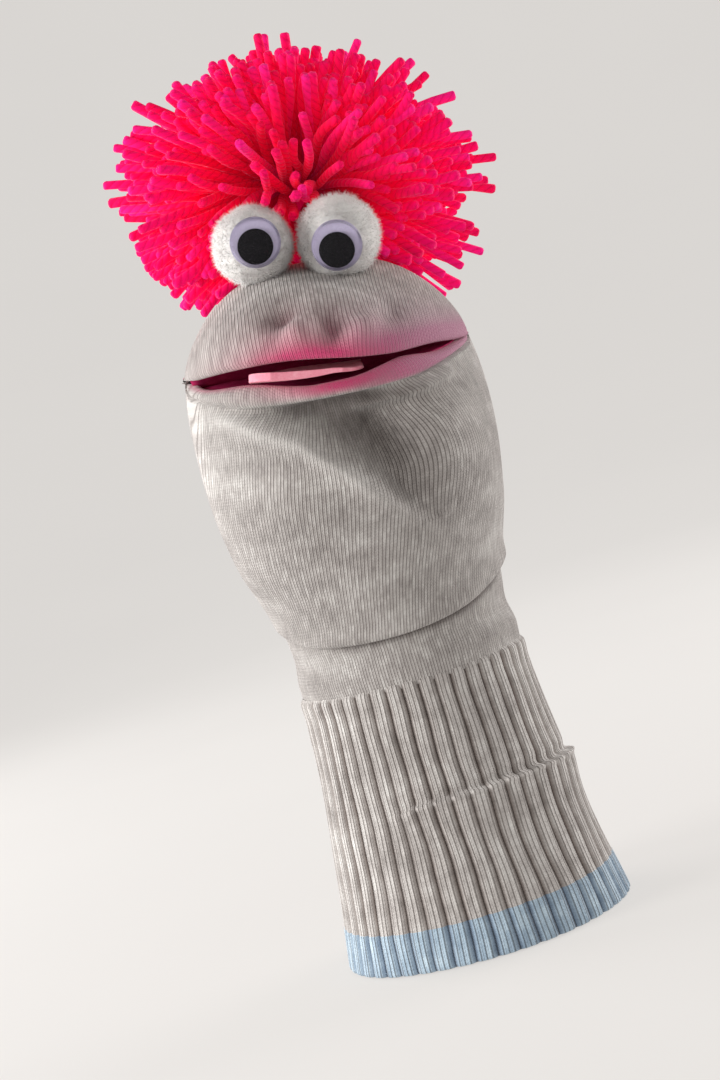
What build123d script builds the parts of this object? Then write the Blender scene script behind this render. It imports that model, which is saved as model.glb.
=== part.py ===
from build123d import *
import math
import os

# Sock puppet on an arm opening, in millimetres.
# Origin: centre of the arm opening, at the cuff's lower edge.
# +Z runs up the sleeve, -Y is the side the mouth opens to, +X is the puppet's left hand side.

# ---- driving dimensions -------------------------------------------------------------------

KNIT_WALL = 1.6              # knitted cloth of the foot, doubled where it gathers
RIB_WALL = 2.2               # thicker ribbed cloth of the leg

# sleeve
CUFF_RADIUS = 43.3
CUFF_HEIGHT = 12.0
LEG_BASE_RADIUS = 42.2
TUCK_HEIGHT = 41.0           # small fold that runs round the leg
TUCK_STEP = 1.2
TUCK_RADIUS = 38.4
LEG_TOP_PROUD = 1.3          # ribbed cloth stands out past the ankle's
LEG_TOP = 78.0

# wrist, a ball-shaped zone that the bag of the foot turns over
WRIST_HEIGHT = 96.0
WRIST_RADIUS = 32.5
ANKLE_TOP_ANGLE = 34.0       # degrees above the wrist centre
HEEL_GAP = 3.5               # from the ankle out to the inside of the heel fold
HEEL_LOW_ANGLE = -4.0
HEEL_HIGH_ANGLE = 18.0
SLIDE_GAP = 1.1              # between the heel fold and the bag that turns over it

# bag of the foot, from the wrist up to the mouth
BAG_BASE_RISE = 8.0          # lower edge of the bag above the wrist centre
BAG_SIDE_SWELL = 5.4         # how far the bag swells past the heel fold
BAG_FRONT_SWELL = 24.4       # at the throat
BAG_BACK_SWELL = 1.4

# head, measured from the mouth hinge
MOUTH_X = 1.7
MOUTH_Y = -24.0
MOUTH_Z = 172.1
MOUTH_ROLL = 5.1             # degrees, the mouth's left end is the higher one
HEAD_HALF_WIDTH = 40.6
HEAD_FRONT = 48.0
HEAD_BACK = 60.0
HEAD_RISE = 25.0             # top of the crown above its seam

# jaw
JAW_SIDE_GAP = 3.1           # from the head's side in to the chin cloth
JAW_REACH = 47.0
JAW_REST = 9.0               # degrees the mouth stands open
JAW_SKIRT = 75.0             # degrees below level that the chin cloth reaches
MOUTH_CUT = 42.0             # degrees below level where the throat's edge is
LINING = 1.5                 # felt in the mouth
HINGE_GAP = 1.0              # from the hinge line up to the upper lining
HINGE_DROP = 0.5             # from the hinge line down to the lower lining
HINGE_SETBACK = 6.0          # from the hinge line to the lower lining's back edge

# tongue
TONGUE_WIDTH = 31.0
TONGUE_LENGTH = 27.0
TONGUE_THICKNESS = 2.2
TONGUE_OVERHANG = 2.0        # past the lower lip
TONGUE_OFFSET = -6.3         # from the middle of the mouth

# hair, its centre across and back from the mouth hinge and up from the crown's top
HAIR_CENTRE = (6.9, 29.0, 25.4)
HAIR_LEAN = 16.7             # degrees
HAIR_HALF_WIDTH = 52.0
HAIR_RADIUS = 41.0
HAIR_TIE_RADIUS = 7.0
HAIR_TIE_WIDTH = 4.0

# eyes: side, pom-pom centre from the same point and its radius, how far the eye lies across
# from the pom-pom's centre and its lowest edge below it, eye turned down and in (degrees)
EYES = (
    ("left", (-10.6, -11.0, 9.4), 11.7, (1.1, 7.2), 1.0, 3.0),
    ("right", (13.0, -11.0, 5.1), 12.2, (-1.4, 10.1), 10.0, -4.0),
)
FLUFF_GAP = 0.4              # between the hair and the pom-poms
EYE_RADIUS = 7.0             # flange of the wiggle eye
EYE_SINK = 1.4               # how deep the eye's back sits in the fluff
EYE_BACK = 0.8
EYE_FLANGE = 0.5
EYE_SHELL = 0.4
EYE_CHAMBER = 6.4            # radius inside
EYE_WALL_RISE = 1.8          # straight part of the chamber
EYE_CHAMBER_DEPTH = 3.2
PUPIL_RADIUS = 4.9
PUPIL_THICKNESS = 0.8
PUPIL_GAP = 0.3
PUPIL_REST = 253.3           # degrees round the eye's face where the pupil lies


def turned_plane(x, y, z, roll):
    """Level plane at a point, rolled about the front-to-back line."""
    turn = math.radians(roll)
    return Plane(
        origin=(x, y, z),
        x_dir=(math.cos(turn), 0, -math.sin(turn)),
        z_dir=(math.sin(turn), 0, math.cos(turn)),
    )


def polar(radius, angle, height):
    """Point of a ball-shaped profile, with the angle taken up from level."""
    turn = math.radians(angle)
    return (radius * math.cos(turn), height + radius * math.sin(turn))


leg_top_radius = WRIST_RADIUS + LEG_TOP_PROUD
heel_inside = WRIST_RADIUS + HEEL_GAP
jaw_half_width = HEAD_HALF_WIDTH - JAW_SIDE_GAP

# ---- sleeve -------------------------------------------------------------------------------

# Cuff band: a short doubled hem knitted in the contrast yarn.
cuff_outer_top = LEG_BASE_RADIUS + 0.5
with BuildPart() as cuff_band:
    with BuildSketch(Plane.XZ):
        with BuildLine():
            Polyline(
                (CUFF_RADIUS - RIB_WALL, 0),
                (CUFF_RADIUS, 0),
                (cuff_outer_top, CUFF_HEIGHT),
                (cuff_outer_top - RIB_WALL, CUFF_HEIGHT),
                close=True,
            )
        make_face()
    revolve(axis=Axis.Z)

# Ribbed leg: a tapered tube with a tuck part of the way up.
leg_outer = [
    (LEG_BASE_RADIUS, CUFF_HEIGHT),
    (TUCK_RADIUS, TUCK_HEIGHT),
    (TUCK_RADIUS - TUCK_STEP, TUCK_HEIGHT + TUCK_STEP),
    (leg_top_radius, LEG_TOP),
]
leg_inner = [(radius - RIB_WALL, height) for radius, height in reversed(leg_outer)]
with BuildPart() as ribbed_leg:
    with BuildSketch(Plane.XZ):
        with BuildLine():
            Polyline(*leg_outer, *leg_inner, close=True)
        make_face()
    revolve(axis=Axis.Z)

# Ankle section: plain knit, straight up to the wrist and ball-shaped above it.
ankle_inside = WRIST_RADIUS - KNIT_WALL
with BuildPart() as ankle_section:
    with BuildSketch(Plane.XZ):
        with BuildLine():
            outer_end = polar(WRIST_RADIUS, ANKLE_TOP_ANGLE, WRIST_HEIGHT)
            inner_end = polar(ankle_inside, ANKLE_TOP_ANGLE, WRIST_HEIGHT)
            Line((WRIST_RADIUS, LEG_TOP), (WRIST_RADIUS, WRIST_HEIGHT))
            CenterArc((0, WRIST_HEIGHT), WRIST_RADIUS, 0, ANKLE_TOP_ANGLE)
            Line(outer_end, inner_end)
            CenterArc((0, WRIST_HEIGHT), ankle_inside, 0, ANKLE_TOP_ANGLE)
            Line((ankle_inside, WRIST_HEIGHT), (ankle_inside, LEG_TOP))
            Line((ankle_inside, LEG_TOP), (WRIST_RADIUS, LEG_TOP))
        make_face()
    revolve(axis=Axis.Z)

# Heel pouch: the fold of loose cloth that curls down over the ankle.
heel_outside = heel_inside + KNIT_WALL
heel_sweep = HEEL_HIGH_ANGLE - HEEL_LOW_ANGLE
with BuildPart() as heel_pouch:
    with BuildSketch(Plane.XZ):
        with BuildLine():
            CenterArc((0, WRIST_HEIGHT), heel_inside, HEEL_LOW_ANGLE, heel_sweep)
            CenterArc((0, WRIST_HEIGHT), heel_outside, HEEL_LOW_ANGLE, heel_sweep)
            for angle in (HEEL_LOW_ANGLE, HEEL_HIGH_ANGLE):
                Line(
                    polar(heel_inside, angle, WRIST_HEIGHT),
                    polar(heel_outside, angle, WRIST_HEIGHT),
                )
        make_face()
    revolve(axis=Axis.Z)

# ---- foot of the sock, which makes the head -----------------------------------------------

mouth = turned_plane(MOUTH_X, MOUTH_Y, MOUTH_Z, MOUTH_ROLL)
jaw_axis = Axis(mouth.origin, mouth.x_dir)
seam_rise = HINGE_GAP + LINING

seam = mouth.offset(seam_rise)
head_middle = (HEAD_BACK - HEAD_FRONT) / 2
head_length = HEAD_FRONT + HEAD_BACK
far = 2 * head_length

bag_half_width = heel_outside + BAG_SIDE_SWELL
bag_front = heel_outside + BAG_FRONT_SWELL
bag_back = heel_outside + BAG_BACK_SWELL
bag_base = WRIST_HEIGHT + BAG_BASE_RISE
bag_base_radius = math.hypot(heel_outside + SLIDE_GAP, BAG_BASE_RISE) + KNIT_WALL
bag_height = seam.origin.Z - bag_base

# Each oval: height share from the bag's edge to its seam, then its front, back and half width.
bag_ovals = (
    (0.00, bag_base_radius, bag_base_radius, bag_base_radius),
    (0.12, bag_front * 0.76, bag_back + 1.0, bag_half_width - 2.0),
    (0.31, bag_front * 0.90, bag_back + 1.0, bag_half_width - 0.5),
    (0.53, bag_front, bag_back, bag_half_width),
    (0.75, bag_front + 6.0, bag_back - 1.0, bag_half_width - 0.5),
)


def bag_form(inset):
    """Solid form of the bag below its seam, drawn in by a cloth's thickness for the inside."""
    with BuildPart() as form:
        for share, front, back, half_width in bag_ovals:
            height = bag_base + share * bag_height
            plane = turned_plane(MOUTH_X * share, 0, height, MOUTH_ROLL * share)
            with BuildSketch(plane):
                with Locations((0, (back - front) / 2)):
                    Ellipse(half_width - inset, (front + back) / 2 - inset)
        with BuildSketch(seam):
            with Locations((0, head_middle)):
                Ellipse(HEAD_HALF_WIDTH - inset, head_length / 2 - inset)
        loft()
    return form.part


def crown_form(inset):
    """Egg whose middle lies on the seam, which the crown's top half follows."""
    egg = scale(
        Sphere(1), by=(HEAD_HALF_WIDTH - inset, head_length / 2 - inset, HEAD_RISE - inset)
    )
    return seam.location * Pos(0, head_middle, 0) * egg


# The side plane looks along the hinge line: its x runs forward and its y runs down.
side = Plane(origin=mouth.origin, x_dir=(0, -1, 0), z_dir=mouth.x_dir)

# Throat bag: the foot's tube below the seam, with the mouth's wedge cut from its front.
bag_outside, bag_inside = bag_form(0), bag_form(KNIT_WALL)
with BuildPart() as throat_bag:
    add(bag_outside)
    add(bag_inside, mode=Mode.SUBTRACT)
    with BuildSketch(side):
        with BuildLine():
            Polyline(
                (0, -2 * seam_rise),
                (far, -2 * seam_rise),
                (far * math.cos(math.radians(MOUTH_CUT)), far * math.sin(math.radians(MOUTH_CUT))),
                (0, 0),
                close=True,
            )
        make_face()
    extrude(amount=far, both=True, mode=Mode.SUBTRACT)

# Crown: the top of the foot over the fingers and knuckles, closed above.
crown_outside, crown_inside = crown_form(0), crown_form(KNIT_WALL)
with BuildPart() as crown:
    add(crown_outside)
    add(crown_inside, mode=Mode.SUBTRACT)
    split(bisect_by=seam, keep=Keep.TOP)

# Upper mouth lining: felt under the crown, in front of the hinge line.
with BuildPart() as upper_mouth_lining:
    with BuildSketch(mouth.offset(HINGE_GAP)):
        with Locations((0, head_middle)):
            Ellipse(HEAD_HALF_WIDTH - KNIT_WALL / 2, (head_length - KNIT_WALL) / 2)
        with Locations((0, -far / 2)):
            Rectangle(far, far - 2 * HINGE_DROP, mode=Mode.INTERSECT)
    extrude(amount=LINING)

# ---- lower jaw ----------------------------------------------------------------------------

# The jaw plane holds the hinge line and the lower lip: its y runs forward, its normal down.
jaw_turn = math.radians(JAW_REST)
jaw_forward = Vector(0, -math.cos(jaw_turn), 0) - mouth.z_dir * math.sin(jaw_turn)
jaw_plane = Plane(origin=mouth.origin, x_dir=mouth.x_dir, z_dir=mouth.x_dir.cross(jaw_forward))
lining_under = HINGE_DROP + LINING

# Chin pocket: the thumb's half of the foot. Its cloth is round about the hinge line, so it
# slides behind the throat's edge as the jaw drops.
with BuildPart() as chin_pocket:
    with BuildSketch(jaw_plane):
        Ellipse(jaw_half_width, JAW_REACH)
        Ellipse(jaw_half_width - KNIT_WALL, JAW_REACH - KNIT_WALL, mode=Mode.SUBTRACT)
        with Locations((0, far / 2 + HINGE_SETBACK)):
            Rectangle(far, far, mode=Mode.INTERSECT)
    revolve(axis=jaw_axis, revolution_arc=JAW_SKIRT - JAW_REST)
    with BuildSketch(jaw_plane.offset(lining_under)):
        Rectangle(far, far)
    extrude(amount=-2 * lining_under, mode=Mode.SUBTRACT)

# Lower mouth lining: felt on the chin pocket's rim.
with BuildPart() as lower_mouth_lining:
    with BuildSketch(jaw_plane.offset(HINGE_DROP)):
        Ellipse(jaw_half_width - KNIT_WALL / 4, JAW_REACH - KNIT_WALL / 4)
        with Locations((0, far / 2 + HINGE_SETBACK)):
            Rectangle(far, far, mode=Mode.INTERSECT)
    extrude(amount=LINING)

# Tongue: a felt strip with a rounded end, glued on the lower lining.
with BuildPart() as tongue:
    with BuildSketch(jaw_plane.offset(HINGE_DROP)):
        with Locations((TONGUE_OFFSET, JAW_REACH + TONGUE_OVERHANG - TONGUE_LENGTH / 2)):
            RectangleRounded(TONGUE_WIDTH, TONGUE_LENGTH, TONGUE_LENGTH / 3)
    extrude(amount=-TONGUE_THICKNESS)

# ---- hair ---------------------------------------------------------------------------------

crown_top = Vector(MOUTH_X, MOUTH_Y, MOUTH_Z + seam_rise + HEAD_RISE)
hair_plane = turned_plane(*(crown_top + HAIR_CENTRE), HAIR_LEAN)

# Hair tie: the yarn wound round the waist of the bundle.
parting = Plane(hair_plane.origin, z_dir=hair_plane.x_dir)
with BuildPart() as hair_tie:
    with BuildSketch(parting):
        Circle(HAIR_TIE_RADIUS)
    extrude(amount=HAIR_TIE_WIDTH / 2, both=True)

# Hair tufts: the two halves of the pom-pom of cut yarn, on the crown and behind the eyes.
tufts = {}
for name, keep in (("left", Keep.BOTTOM), ("right", Keep.TOP)):
    with BuildPart() as tuft:
        with BuildSketch(hair_plane):
            Ellipse(HAIR_HALF_WIDTH, HAIR_RADIUS)
            with Locations((0, far / 2)):
                Rectangle(2 * far, far, mode=Mode.INTERSECT)
        revolve(axis=Axis(hair_plane.origin, hair_plane.x_dir))
        split(bisect_by=parting, keep=keep)
        for _, centre, radius, *_ in EYES:
            with Locations(crown_top + centre):
                Sphere(radius + FLUFF_GAP, mode=Mode.SUBTRACT)
        add(hair_tie.part, mode=Mode.SUBTRACT)
        add(crown_outside, mode=Mode.SUBTRACT)
    tufts[name] = tuft

# ---- eyes ---------------------------------------------------------------------------------

eye_parts = {}
eye_axes = {}
for name, offset, radius, (eye_across, eye_drop), eye_down, eye_in in EYES:
    centre = crown_top + offset
    eye_up = EYE_RADIUS - eye_drop
    down, sideways = math.radians(eye_down), math.radians(eye_in)
    facing = Vector(math.sin(sideways), -math.cos(sideways) * math.cos(down), -math.sin(down))
    reach = math.sqrt(radius**2 - eye_across**2 - eye_up**2)
    seat = centre + Vector(eye_across, -reach, eye_up) - facing * EYE_SINK
    face = Plane(origin=seat, x_dir=(math.cos(sideways), math.sin(sideways), 0), z_dir=facing)
    profile = Plane(origin=seat, x_dir=face.x_dir, z_dir=face.x_dir.cross(facing))
    axis = Axis(seat, facing)
    eye_axes[name] = (seat, facing)

    # back: a white disc under the clear shell
    with BuildPart() as back:
        with BuildSketch(face):
            Circle(EYE_RADIUS)
        extrude(amount=EYE_BACK)

    # shell: a clear dome with a flange, hollow for the pupil
    with BuildPart() as dome:
        with BuildSketch(face.offset(EYE_BACK)):
            Circle(EYE_RADIUS)
        extrude(amount=EYE_FLANGE)
        for shell in (EYE_SHELL, 0):
            wall = EYE_CHAMBER + shell
            wall_top = EYE_BACK + EYE_WALL_RISE
            crest = EYE_BACK + EYE_CHAMBER_DEPTH + shell
            bulge = crest - wall_top
            ball = (wall**2 + bulge**2) / (2 * bulge)
            half_turn = math.asin(wall / ball) / 2
            middle = (ball * math.sin(half_turn), crest - ball * (1 - math.cos(half_turn)))
            with BuildSketch(profile):
                with BuildLine():
                    Line((0, EYE_BACK), (wall, EYE_BACK))
                    Line((wall, EYE_BACK), (wall, wall_top))
                    ThreePointArc((wall, wall_top), middle, (0, crest))
                    Line((0, crest), (0, EYE_BACK))
                make_face()
            revolve(axis=axis, mode=Mode.ADD if shell else Mode.SUBTRACT)

    # pupil: a loose black disc lying at the low side of the chamber
    pupil_throw = EYE_CHAMBER - PUPIL_RADIUS - PUPIL_GAP
    with BuildPart() as pupil:
        with BuildSketch(face.offset(EYE_BACK + PUPIL_GAP)):
            with PolarLocations(pupil_throw, 1, PUPIL_REST):
                Circle(PUPIL_RADIUS)
        extrude(amount=PUPIL_THICKNESS)

    # pom-pom: a ball of fluff pressed on the crown, with the eye's back glued into it
    with BuildPart() as pompom:
        with Locations(centre):
            Sphere(radius)
        add(crown_outside, mode=Mode.SUBTRACT)
        with BuildSketch(face):
            Circle(EYE_RADIUS)
        extrude(amount=2 * radius, mode=Mode.SUBTRACT)

    eye_parts[f"eye_back_{name}"] = back
    eye_parts[f"eye_dome_{name}"] = dome
    eye_parts[f"pupil_{name}"] = pupil
    eye_parts[f"eye_pompom_{name}"] = pompom

# ---- labels and files ---------------------------------------------------------------------

pieces = {
    "cuff_band": cuff_band,
    "ribbed_leg": ribbed_leg,
    "ankle_section": ankle_section,
    "heel_pouch": heel_pouch,
    "throat_bag": throat_bag,
    "crown": crown,
    "upper_mouth_lining": upper_mouth_lining,
    "chin_pocket": chin_pocket,
    "lower_mouth_lining": lower_mouth_lining,
    "tongue": tongue,
    "hair_tie": hair_tie,
    "hair_tuft_left": tufts["left"],
    "hair_tuft_right": tufts["right"],
    **eye_parts,
}
os.makedirs("parts", exist_ok=True)
for name, piece in pieces.items():
    piece.part.label = name
    export_step(piece.part, f"parts/{name}.step")

print("jaw axis", jaw_axis.position, jaw_axis.direction)
for name, (seat, facing) in eye_axes.items():
    print("eye axis", name, seat, facing)
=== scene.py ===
import math

import bmesh
import bpy
import numpy as np
from mathutils import Matrix, Vector, noise


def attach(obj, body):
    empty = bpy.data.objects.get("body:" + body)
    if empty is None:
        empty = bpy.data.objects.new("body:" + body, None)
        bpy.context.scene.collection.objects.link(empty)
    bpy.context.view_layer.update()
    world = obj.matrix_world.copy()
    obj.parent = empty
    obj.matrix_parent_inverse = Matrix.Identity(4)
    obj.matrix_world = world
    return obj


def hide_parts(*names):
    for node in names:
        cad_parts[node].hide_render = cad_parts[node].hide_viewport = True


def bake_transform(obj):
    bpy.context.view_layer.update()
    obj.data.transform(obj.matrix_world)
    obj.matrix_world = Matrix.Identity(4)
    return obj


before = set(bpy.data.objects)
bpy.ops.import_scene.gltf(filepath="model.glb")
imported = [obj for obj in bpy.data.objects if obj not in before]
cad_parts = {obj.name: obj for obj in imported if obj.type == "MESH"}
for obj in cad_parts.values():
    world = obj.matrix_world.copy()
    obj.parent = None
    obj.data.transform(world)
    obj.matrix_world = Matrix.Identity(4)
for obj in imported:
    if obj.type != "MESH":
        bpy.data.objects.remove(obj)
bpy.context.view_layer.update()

MM = 0.001

# ---- studio -------------------------------------------------------------------------------
# A pale seamless bowl: floor and wall are one surface, so no edge shows behind the puppet
# from any side. Large soft windows stand at both sides, a little behind it.


class Strand:
    """One socket of a material's node tree. Sums of strands add their own Math nodes."""

    def __init__(self, tree, socket=None):
        self.tree = tree
        self.socket = socket

    def node(self, kind, settings=None, out=0, **inputs):
        made = self.tree.nodes.new(kind)
        for key, value in (settings or {}).items():
            if key == "stops":
                ramp = made.color_ramp
                while len(ramp.elements) < len(value):
                    ramp.elements.new(0.5)
                for element, (place, colour) in zip(ramp.elements, value):
                    element.position = place
                    element.color = (*colour, 1)
            else:
                setattr(made, key, value)
        for key, value in inputs.items():
            numbered = key[0] == "i" and key[1:].isdigit()
            target = made.inputs[int(key[1:]) if numbered else key.replace("_", " ")]
            if isinstance(value, Strand):
                self.tree.links.new(value.socket, target)
            elif target.type == "RGBA":
                target.default_value = (*value, 1)
            else:
                target.default_value = value
        return Strand(self.tree, made.outputs[out])

    def out(self, which):
        return Strand(self.tree, self.socket.node.outputs[which])

    def sum(self, operation, *others):
        values = {f"i{n}": value for n, value in enumerate((self, *others))}
        return self.node("ShaderNodeMath", {"operation": operation}, **values)

    def __add__(self, other):
        return self.sum("ADD", other)

    def __sub__(self, other):
        return self.sum("SUBTRACT", other)

    def __mul__(self, other):
        return self.sum("MULTIPLY", other)

    def __rsub__(self, other):
        return self.node("ShaderNodeMath", {"operation": "SUBTRACT"}, i0=other, i1=self)

    __radd__ = __add__
    __rmul__ = __mul__

    def smooth(self, low, high):
        settings = {"interpolation_type": "SMOOTHSTEP"}
        return self.node("ShaderNodeMapRange", settings, Value=self, From_Min=low, From_Max=high)

    def mix(self, share, colour):
        settings = {"data_type": "RGBA"}
        return self.node("ShaderNodeMix", settings, 2, i0=share, i6=self, i7=colour)

    def tinted(self, share, colour):
        settings = {"data_type": "RGBA", "blend_type": "MULTIPLY"}
        return self.node("ShaderNodeMix", settings, 2, i0=share, i6=self, i7=colour)

    def stretched(self, factors):
        settings = {"operation": "MULTIPLY"}
        return self.node("ShaderNodeVectorMath", settings, i0=self, i1=factors)

    def object_place(self):
        return self.node("ShaderNodeTexCoord", out="Object")

    def mark(self, name):
        return self.node("ShaderNodeAttribute", {"attribute_name": name}, "Vector")

    def split(self):
        parts = self.node("ShaderNodeSeparateXYZ", Vector=self)
        return parts.out("X"), parts.out("Y"), parts.out("Z")

    def ramp(self, *stops):
        return self.node("ShaderNodeValToRGB", {"stops": stops}, Fac=self)

    def mottle(self, scale, detail=2.0, roughness=0.5):
        inputs = {"Vector": self, "Scale": scale, "Detail": detail, "Roughness": roughness}
        return self.node("ShaderNodeTexNoise", {"noise_dimensions": "3D"}, **inputs)


def new_material(name):
    material = bpy.data.materials.new(name)
    material.use_nodes = True
    material.node_tree.nodes.clear()
    return material, Strand(material.node_tree)


def finish_material(tree, shader):
    made = tree.tree.nodes.new("ShaderNodeOutputMaterial")
    tree.tree.links.new(shader.socket, made.inputs["Surface"])


def smooth_mesh(name, points, faces, material):
    mesh = bpy.data.meshes.new(name)
    mesh.from_pydata(points, [], faces)
    mesh.polygons.foreach_set("use_smooth", [True] * len(mesh.polygons))
    mesh.materials.append(material)
    piece = bpy.data.objects.new(name, mesh)
    bpy.context.scene.collection.objects.link(piece)
    return piece


BOWL = ((0.4, 0.0), (0.9, 0.0), (1.3, 0.0), (1.8, 0.08), (2.3, 0.32), (2.7, 0.75), (2.9, 1.3), (3.0, 1.9))
BOWL_SIDES = 120
FLOOR_GAP = 0.0003
paper, t = new_material("studio_paper")
tone = t.object_place().mottle(3.0, 3.0).ramp((0.3, (0.150, 0.146, 0.142)), (0.7, (0.165, 0.161, 0.156)))
shader = t.node(
    "ShaderNodeBsdfPrincipled",
    Base_Color=tone,
    Roughness=0.9,
    Emission_Color=(1.0, 0.968, 0.935),
    Emission_Strength=0.60,
)
finish_material(t, shader)
turns = np.radians(np.arange(0, 360, 360 / BOWL_SIDES))
bowl_points = [(r * math.cos(a), r * math.sin(a), z - FLOOR_GAP) for r, z in BOWL for a in turns]
bowl_faces = []
for i in range(len(BOWL) - 1):
    low, high = i * BOWL_SIDES, (i + 1) * BOWL_SIDES
    for k in range(BOWL_SIDES):
        after = (k + 1) % BOWL_SIDES
        bowl_faces.append((low + k, high + k, high + after, low + after))
bowl_faces.append(tuple(range(BOWL_SIDES)))
backdrop = smooth_mesh("backdrop", bowl_points, bowl_faces, paper)

world = bpy.data.worlds.new("daylight")
bpy.context.scene.world = world
world.use_nodes = True
world.node_tree.nodes["Background"].inputs["Color"].default_value = (1.0, 0.985, 0.965, 1)
world.node_tree.nodes["Background"].inputs["Strength"].default_value = 0.36
bpy.context.scene.view_settings.view_transform = "Standard"

LOOK_AT = Vector((-3.8, 0, 120.6)) * MM
for name, place, aim, width, height, power, colour in (
    ("window_left", (-1.00, -0.32, 0.46), LOOK_AT, 0.55, 0.45, 10.0, (1.0, 0.985, 0.97)),
    ("window_back_left", (-0.80, 0.62, 0.34), LOOK_AT, 0.8, 0.55, 9.0, (1.0, 0.98, 0.97)),
    ("window_back_right", (0.90, 0.50, 0.34), LOOK_AT, 0.8, 0.55, 8.0, (1.0, 0.97, 0.96)),
):
    lamp = bpy.data.lights.new(name, "AREA")
    lamp.shape = "RECTANGLE"
    lamp.size = width
    lamp.size_y = height
    lamp.energy = power
    lamp.color = colour
    holder = bpy.data.objects.new(name, lamp)
    holder.location = place
    holder.rotation_euler = (Vector(place) - aim).to_track_quat("Z", "Y").to_euler()
    bpy.context.scene.collection.objects.link(holder)

CAMERA_DISTANCE = 0.7
CAMERA_RISE = math.radians(2.5)
CAMERA_ROLL = math.radians(16.7)
back = Vector((0, -math.cos(CAMERA_RISE), math.sin(CAMERA_RISE)))
right = Vector((math.sin(CAMERA_ROLL), 0, math.cos(CAMERA_ROLL))).cross(back).normalized()
turn = Matrix((right, back.cross(right), back)).transposed()
lens = bpy.data.cameras.new("camera")
lens.sensor_fit = "VERTICAL"
lens.sensor_height = 36
lens.lens = 79.3
camera = bpy.data.objects.new("camera", lens)
camera.matrix_world = Matrix.Translation(LOOK_AT + back * CAMERA_DISTANCE) @ turn.to_4x4()
bpy.context.scene.collection.objects.link(camera)
bpy.context.scene.camera = camera

# ---- cuff band ----------------------------------------------------------------------------
# The doubled hem at the sock's opening, knitted in pale blue yarn. The leg's ribs run
# through it, and it is the piece that grips the arm.


def ease(values, low, high):
    share = np.clip((values - low) / (high - low), 0, 1)
    return share * share * (3 - 2 * share)


def through(stations, at):
    """Smooth curve through (place, value) stations."""
    places, values = np.array(stations, float).T
    slopes = np.gradient(values, places)
    at = np.clip(at, places[0], places[-1])
    k = np.clip(np.searchsorted(places, at) - 1, 0, len(places) - 2)
    span = places[k + 1] - places[k]
    s = (at - places[k]) / span
    return (
        (1 + 2 * s) * (1 - s) ** 2 * values[k]
        + s * (1 - s) ** 2 * span * slopes[k]
        + s * s * (3 - 2 * s) * values[k + 1]
        + s * s * (s - 1) * span * slopes[k + 1]
    )


def cloth_normals(grid, round_about):
    if round_about:
        across = np.roll(grid, -1, axis=1) - np.roll(grid, 1, axis=1)
    else:
        across = np.gradient(grid, axis=1)
    out = np.cross(across, np.gradient(grid, axis=0))
    return out / np.maximum(np.linalg.norm(out, axis=2, keepdims=True), 1e-9)


def skin(name, grid, out, wall, material, round_about=True, **marks):
    """Cloth with both its faces, from a grid in millimetres: rows go up and columns go round.

    Marks are values for the material, with one more column than a grid that closes.
    """
    rows, columns = grid.shape[:2]
    points = np.concatenate((grid.reshape(-1, 3), (grid - out * wall).reshape(-1, 3))) * MM
    wide = columns if round_about else columns - 1
    r, c = (part.ravel() for part in np.meshgrid(np.arange(rows - 1), np.arange(wide), indexing="ij"))
    inner = rows * columns

    def at(row, column, layer=0):
        return np.stack((row, column, np.full_like(row, layer)), axis=1)

    quads = [
        np.stack((at(r, c), at(r, c + 1), at(r + 1, c + 1), at(r + 1, c)), axis=1),
        np.stack((at(r, c, 1), at(r + 1, c, 1), at(r + 1, c + 1, 1), at(r, c + 1, 1)), axis=1),
    ]
    c = np.arange(wide)
    low, high = np.zeros_like(c), np.full_like(c, rows - 1)
    rims = [((low, c + 1), (low, c)), ((high, c), (high, c + 1))]
    if not round_about:
        r = np.arange(rows - 1)
        first, last = np.zeros_like(r), np.full_like(r, columns - 1)
        rims += [((r, first), (r + 1, first)), ((r + 1, last), (r, last))]
    for a, b in rims:
        quads.append(np.stack((at(*a), at(*b), at(*b, 1), at(*a, 1)), axis=1))
    corners = np.concatenate(quads)
    faces = corners[..., 0] * columns + corners[..., 1] % columns + corners[..., 2] * inner
    piece = smooth_mesh(name, points.tolist(), faces.tolist(), material)
    flat = corners.reshape(-1, 3)
    both = np.concatenate((out.reshape(-1, 3), -out.reshape(-1, 3)))
    looks = both[faces.reshape(-1)]
    edge = 4 * (len(quads[0]) + len(quads[1]))
    flat_normals = np.empty((len(faces), 3), np.float32)
    piece.data.polygons.foreach_get("normal", flat_normals.reshape(-1))
    looks[edge:] = np.repeat(flat_normals[edge // 4:], 4, axis=0)
    piece.data.normals_split_custom_set(looks.tolist())
    for mark, values in marks.items():
        layer = piece.data.attributes.new(mark, "FLOAT_VECTOR", "CORNER")
        layer.data.foreach_set("vector", values[flat[:, 0], flat[:, 1]].astype(np.float32).ravel())
    return piece


COURSE_RELIEF = 0.35


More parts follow.
